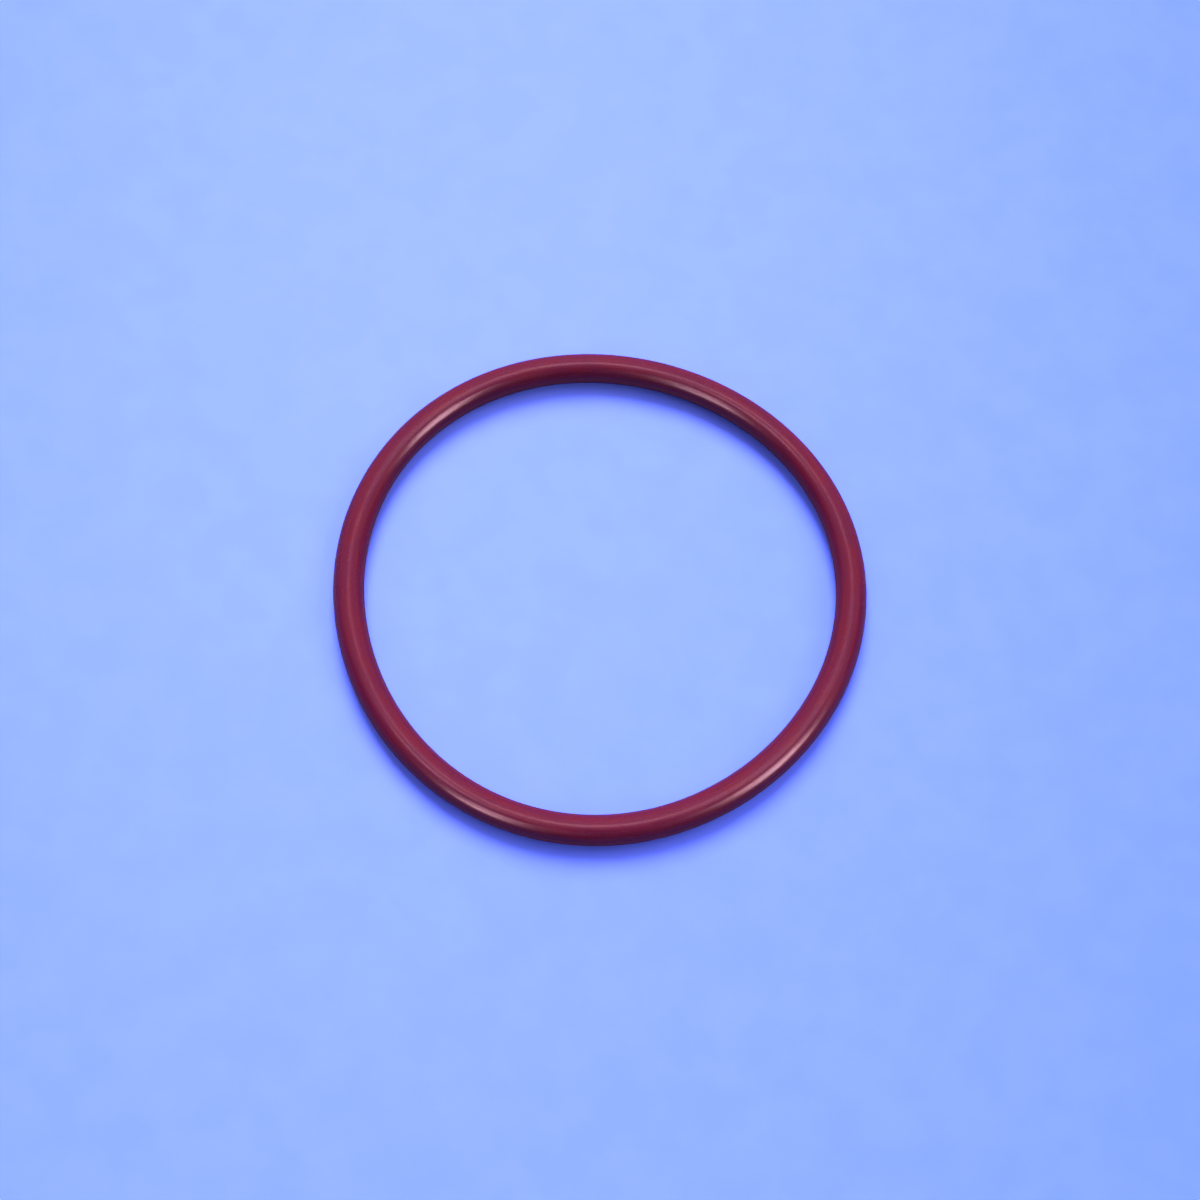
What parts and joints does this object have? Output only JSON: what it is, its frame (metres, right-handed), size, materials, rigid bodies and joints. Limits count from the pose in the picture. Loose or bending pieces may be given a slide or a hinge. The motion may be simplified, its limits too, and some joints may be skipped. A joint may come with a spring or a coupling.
{
  "type": "torque converter seal",
  "caption": "Plain moulded rubber ring of round section that seals the gap between a round hub and the bore around it.",
  "frame": {"origin": "centre of the ring, on its axis and on the mid-plane of its section", "axes": "+Z along the ring's axis; the ring lies in the XY plane and rests on its lower crest; X and Y are any two directions across it"},
  "size_m": [0.0632, 0.0632, 0.0036],
  "materials": {
    "seal_rubber": "satin moulded rubber, reddish brown"
  },
  "bodies": {
    "root": {"seal_ring": "seal_rubber"}
  },
  "joints": []
}
